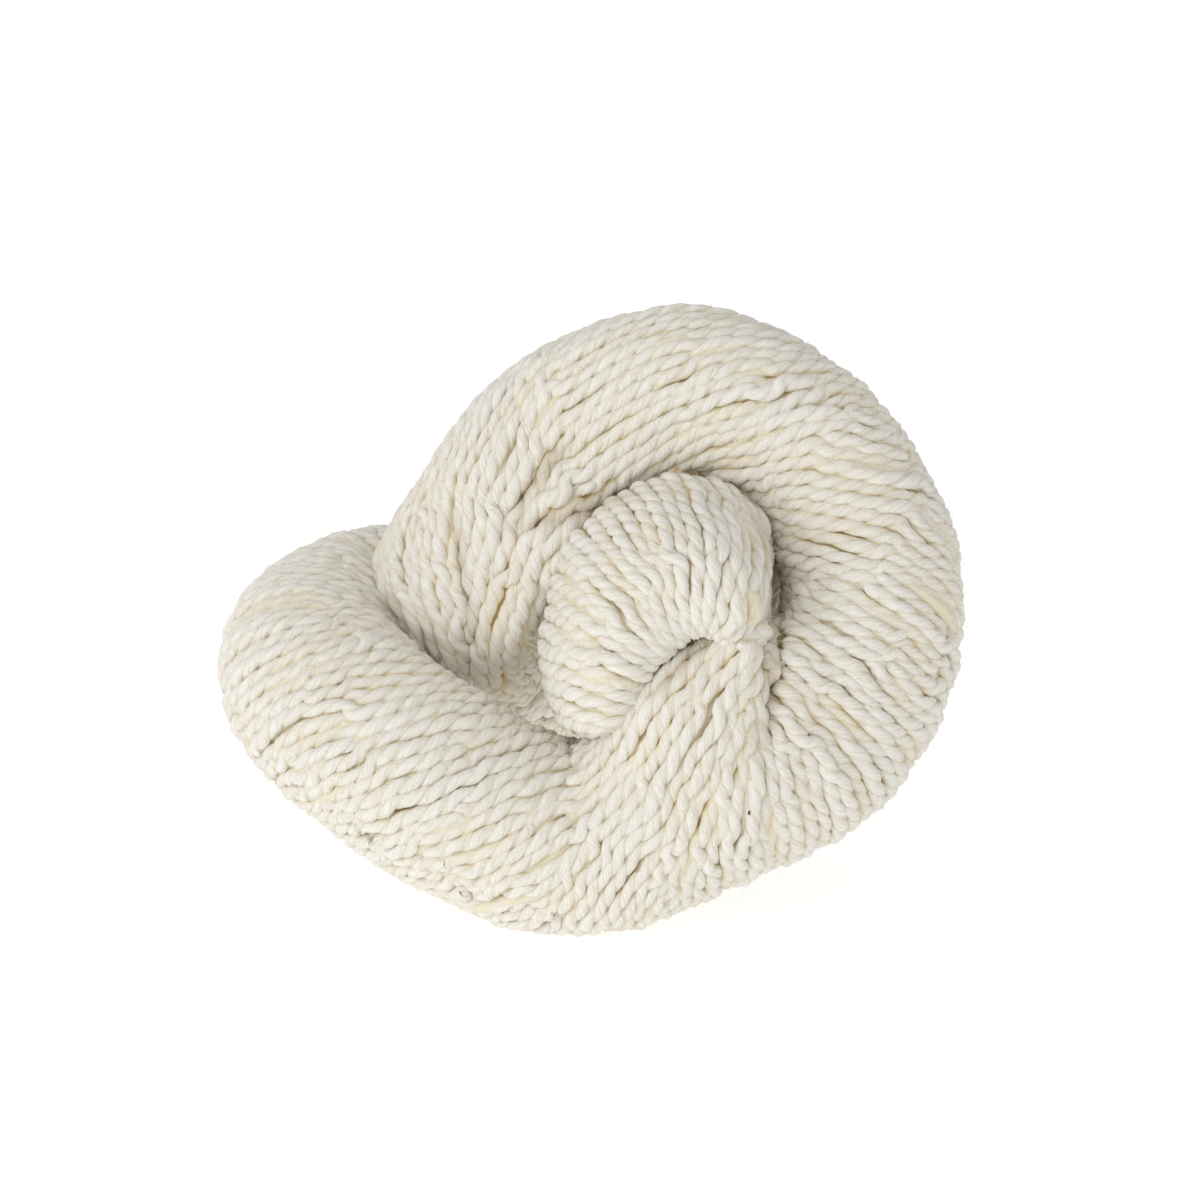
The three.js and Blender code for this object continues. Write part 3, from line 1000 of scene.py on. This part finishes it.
heartShape = {
    "depth": 4.0,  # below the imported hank's surface
    "weld": 0.02,
    "pinchBack": 3.5,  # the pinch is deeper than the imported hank's
    "pinchReach": 13,
}
bpy.ops.object.select_all(action="DESELECT")
heart = bpy.data.objects.new("hankHeart", hankNode.data.copy())
bpy.context.scene.collection.objects.link(heart)
heart.data.materials.clear()
bpy.context.view_layer.objects.active = heart
heart.select_set(True)
bpy.ops.object.mode_set(mode="EDIT")
bpy.ops.mesh.select_all(action="SELECT")
bpy.ops.mesh.remove_doubles(threshold=heartShape["weld"] * metre)
bpy.ops.object.mode_set(mode="OBJECT")
shrink = heart.modifiers.new("shrink", "DISPLACE")
shrink.strength = -heartShape["depth"] * metre
shrink.mid_level = 0
bpy.ops.object.modifier_apply(modifier=shrink.name)
for vertex in heart.data.vertices:
    apart = (vertex.co - Vector(pinchAt * metre)).length / metre
    vertex.co.y += heartShape["pinchBack"] * metre * math.exp(-((apart / heartShape["pinchReach"]) ** 2))
print("heart made")

# A dark fleck caught on a strand of the lower right

fleck = {
    "at": (749, 813),  # in the picture
    "radius": 0.24,
    "shape": (0.8, 0.8, 1.6),
    "above": 1.5,
    "colour": (0.05, 0.035, 0.025, 1),
    "roughness": 0.9,
}
fleckRay = pictureRay(*fleck["at"])
fleckHit, fleckNormal, fleckFace, fleckAway = top.rayTree().ray_cast(viewFrom.tolist(), fleckRay.tolist())
bpy.ops.object.select_all(action="DESELECT")
bpy.ops.mesh.primitive_uv_sphere_add(
    segments=10,
    ring_count=6,
    radius=fleck["radius"] * metre,
    location=(np.array(fleckHit) - fleckRay * fleck["above"]) * metre,
    scale=fleck["shape"],
)
speck = bpy.context.object
speck.name = "fleck"
bpy.ops.object.transform_apply(location=True, rotation=True, scale=True)
speckMaterial = bpy.data.materials.new("darkFleck")
speckMaterial.use_nodes = True
speckShader = speckMaterial.node_tree.nodes["Principled BSDF"]
speckShader.inputs["Base Color"].default_value = fleck["colour"]
speckShader.inputs["Roughness"].default_value = fleck["roughness"]
speck.data.materials.append(speckMaterial)

# The wool


class Wire:  # a socket's value in a sum
    def __init__(self, tree, socket):
        self.tree = tree
        self.socket = socket

    def make(self, kind, settings=None, inputs=None, output=0):
        node = self.tree.nodes.new(kind)
        for key, value in (settings or {}).items():
            setattr(node, key, value)
        for key, value in (inputs or {}).items():
            if isinstance(value, Wire):
                self.tree.links.new(value.socket, node.inputs[key])
            else:
                node.inputs[key].default_value = value
        return Wire(self.tree, node.outputs[output])

    def sum(self, operation, first, second):
        return self.make("ShaderNodeMath", {"operation": operation}, {0: first, 1: second})

    def __add__(self, other):
        return self.sum("ADD", self, other)

    __radd__ = __add__

    def __sub__(self, other):
        return self.sum("SUBTRACT", self, other)

    def __rsub__(self, other):
        return self.sum("SUBTRACT", other, self)

    def __mul__(self, other):
        return self.sum("MULTIPLY", self, other)

    __rmul__ = __mul__

    def __truediv__(self, other):
        return self.sum("DIVIDE", self, other)

    def blend(self, low, high):  # colours or numbers mixed by this value
        sockets = {0: self, 6: low, 7: high}
        return self.make("ShaderNodeMix", {"data_type": "RGBA"}, sockets, 2)

    def span(self, low, high):  # this value as a share of the way from low to high
        settings = {"interpolation_type": "SMOOTHSTEP", "clamp": True}
        return self.make("ShaderNodeMapRange", settings, {0: self, 1: low, 2: high, 3: 0.0, 4: 1.0})


wool = {
    # painted highlight on the strands' crests
    "crest": (0.87, 0.845, 0.79, 1),
    "body": (0.865, 0.825, 0.73, 1),
    # painted shade on the strands' low sides and in the gaps between them
    "gap": (0.81, 0.735, 0.55, 1),
    # painted shade deep between the strands
    "deepShade": (0.68, 0.55, 0.36, 1),
    "streak": (0.79, 0.725, 0.60, 1),
    # painted shade along the crease lines
    "paintedCrease": (0.50, 0.39, 0.24, 1),
    "tint": (0.85, 0.825, 0.765, 1),
    "paintedGlow": (0.19, 0.15, 0.07, 1),  # painted glow in the gaps, an emission that stands in for light coming through the wool
    "roughness": 0.92,
    "sheen": 0.25,
    "sheenRoughness": 0.5,
    "specular": 0.2,
    "fibres": 15.0,  # round a strand
    "fibreLength": 3.4,
    "fibreStep": 517,  # between the fibres of one strand and the next
    "fibreBump": 1.0,
    "fuzzScale": 3600.0,
    "fuzzBump": 0.35,
    "bump": 0.0005,
    "cloudScale": 60.0,
    "streakShare": 0.8,
    # share of painted shade in the notch between the plies
    "notchShadeShare": 0.35,
    "tintShare": 0.35,
}


def woolMaterial(name, settings):
    material = bpy.data.materials.new(name)
    material.use_nodes = True
    material.cycles.emission_sampling = "NONE"  # the painted glow is too faint to light anything else
    tree = material.node_tree
    shader = tree.nodes["Principled BSDF"]
    start = Wire(tree, None)
    place = start.make("ShaderNodeAttribute", {"attribute_name": "strandMap"}, None, 1)
    height = start.make("ShaderNodeAttribute", {"attribute_name": "strandHeight"}, None, 2)
    tone = start.make("ShaderNodeAttribute", {"attribute_name": "strandTone"}, None, 2)
    paintedCrease = start.make("ShaderNodeAttribute", {"attribute_name": "creaseShade"}, None, 2)
    along = place.make("ShaderNodeSeparateXYZ", None, {0: place})
    cosine = Wire(tree, along.socket.node.outputs[1])
    sine = Wire(tree, along.socket.node.outputs[2])
    # fibres run along the plies, so the noise is stretched that way and wound round each strand
    fibrePlace = start.make(
        "ShaderNodeCombineXYZ",
        None,
        {
            0: along / settings["fibreLength"] + tone * settings["fibreStep"],
            1: cosine * settings["fibres"] / turn,
            2: sine * settings["fibres"] / turn,
        },
    )
    fibreNoise = {"Vector": fibrePlace, "Scale": 1.0, "Detail": 3.0, "Roughness": 0.7}
    fibre = start.make("ShaderNodeTexNoise", None, fibreNoise)
    spot = start.make("ShaderNodeTexCoord", None, None, 3)
    fuzzNoise = {"Vector": spot, "Scale": settings["fuzzScale"], "Detail": 2.0}
    fuzz = start.make("ShaderNodeTexNoise", None, fuzzNoise)
    cloudNoise = {"Vector": spot, "Scale": settings["cloudScale"], "Detail": 2.0}
    cloud = start.make("ShaderNodeTexNoise", None, cloudNoise)
    notch = start.make("ShaderNodeMath", {"operation": "ABSOLUTE"}, {0: cosine}).span(0.0, 0.5)
    # heights are in millimetres from the middle of an outer strand
    # painted shade: the strands' low sides and the gaps between them take the gap colour
    colour = height.span(-0.4, 0.75).blend(settings["gap"], settings["body"])
    # painted highlight on the crests of the plies
    colour = (height.span(0.4, 1.2) * notch).blend(colour, settings["crest"])
    # painted shade in the notch between the two plies
    colour = (settings["notchShadeShare"] * (1 - notch)).blend(colour, settings["gap"])
    colour = (settings["streakShare"] * (1 - fibre.span(0.36, 0.56))).blend(colour, settings["streak"])
    # painted shade deep between the strands
    colour = (1 - height.span(-3.2, -1.2)).blend(colour, settings["deepShade"])
    colour = (settings["tintShare"] * tone * cloud.span(0.3, 0.7)).blend(colour, settings["tint"])
    # painted shade along the crease lines, less on the strands' tops
    colour = (paintedCrease * (1 - 0.55 * height.span(-0.2, 1.1))).blend(colour, settings["paintedCrease"])
    tree.links.new(colour.socket, shader.inputs["Base Color"])
    # painted glow: an emission in the gaps that stands in for light coming through the wool
    paintedGlow = ((1 - height.span(-1.0, 0.7)) * (1 - paintedCrease)).blend((0, 0, 0, 1), settings["paintedGlow"])
    tree.links.new(paintedGlow.socket, shader.inputs["Emission Color"])
    shader.inputs["Emission Strength"].default_value = 1.0
    shader.inputs["Roughness"].default_value = settings["roughness"]
    shader.inputs["Sheen Weight"].default_value = settings["sheen"]
    shader.inputs["Sheen Roughness"].default_value = settings["sheenRoughness"]
    shader.inputs["Specular IOR Level"].default_value = settings["specular"]
    relief = fibre * settings["fibreBump"] + fuzz * settings["fuzzBump"]
    bumpInputs = {"Height": relief, "Strength": 0.8, "Distance": settings["bump"]}
    bump = start.make("ShaderNodeBump", None, bumpInputs)
    tree.links.new(bump.socket, shader.inputs["Normal"])
    return material


woolTop = woolMaterial("undyedWool", wool)
# the layer below is painted shade: all in the gap colour, with a fainter painted glow
belowWoolShaded = {"crest": wool["gap"], "body": wool["gap"], "paintedGlow": (0.07, 0.055, 0.027, 1)}
woolUnder = woolMaterial("undyedWoolBelowShaded", {**wool, **belowWoolShaded})
# the heart is painted shade: all in the deep colour, with a faint painted glow
heartWoolShaded = dict.fromkeys(("crest", "body", "gap"), wool["deepShade"])
heartWoolShaded["paintedGlow"] = (0.07, 0.054, 0.028, 1)
woolHeart = woolMaterial("undyedWoolHeartShaded", {**wool, **heartWoolShaded})

for piece in coilPieces + knobPieces + [fibres]:
    piece.data.materials.append(woolTop)
for piece in underPieces + knobUnderPieces:
    piece.data.materials.append(woolUnder)
heart.data.materials.append(woolHeart)

allPieces = coilPieces + knobPieces + underPieces + knobUnderPieces + [fibres, heart, speck]
for piece in allPieces:
    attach(piece, "root")
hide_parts("hank")

# The floor and the light

studio = {
    "floorSize": 6,  # metres
    "floorColour": (0.55, 0.58, 0.63, 1),
    "floorGlow": (1, 0.97, 0.915, 1),  # the shadows stay warm and pale
    "floorGlowStrength": 0.69,
    "floorRoughness": 0.8,
    "world": (1, 1, 1, 1),
    "worldStrength": 0.61,
    "lightsAimAt": (0, -0.05, 0.05),
}

bpy.ops.object.select_all(action="DESELECT")
bpy.ops.mesh.primitive_plane_add(size=studio["floorSize"], location=(0, 0, 0))
floor = bpy.context.object
floor.name = "floor"
floorMaterial = bpy.data.materials.new("paleFloor")
floorMaterial.use_nodes = True
floorShader = floorMaterial.node_tree.nodes["Principled BSDF"]
floorShader.inputs["Base Color"].default_value = studio["floorColour"]
floorShader.inputs["Emission Color"].default_value = studio["floorGlow"]
floorShader.inputs["Emission Strength"].default_value = studio["floorGlowStrength"]
floorShader.inputs["Roughness"].default_value = studio["floorRoughness"]
floorShader.inputs["Specular IOR Level"].default_value = 0.0
floor.data.materials.append(floorMaterial)

lights = [
    {"name": "softFront", "at": (-0.5, -1.35, 0.9), "size": 1.2, "power": 4.5, "colour": (1, 0.99, 0.97)},
    {"name": "softLeft", "at": (-1.3, -0.9, 0.3), "size": 1.0, "power": 7.0, "colour": (1, 1, 1)},
    {"name": "softRight", "at": (1.3, -0.8, 0.7), "size": 1.0, "power": 0.4, "colour": (1, 1, 1)},
]
for light in lights:
    bpy.ops.object.light_add(type="AREA", location=light["at"])
    lamp = bpy.context.object
    lamp.name = light["name"]
    lamp.data.size = light["size"]
    lamp.data.energy = light["power"]
    lamp.data.color = light["colour"]
    away = Vector(light["at"]) - Vector(studio["lightsAimAt"])
    lamp.rotation_euler = away.to_track_quat("Z", "Y").to_euler()

world = bpy.data.worlds.new("studio")
bpy.context.scene.world = world
world.use_nodes = True
backdrop = world.node_tree.nodes["Background"]
backdrop.inputs["Color"].default_value = studio["world"]
backdrop.inputs["Strength"].default_value = studio["worldStrength"]
bpy.context.scene.view_settings.view_transform = "Standard"
print("lights set")
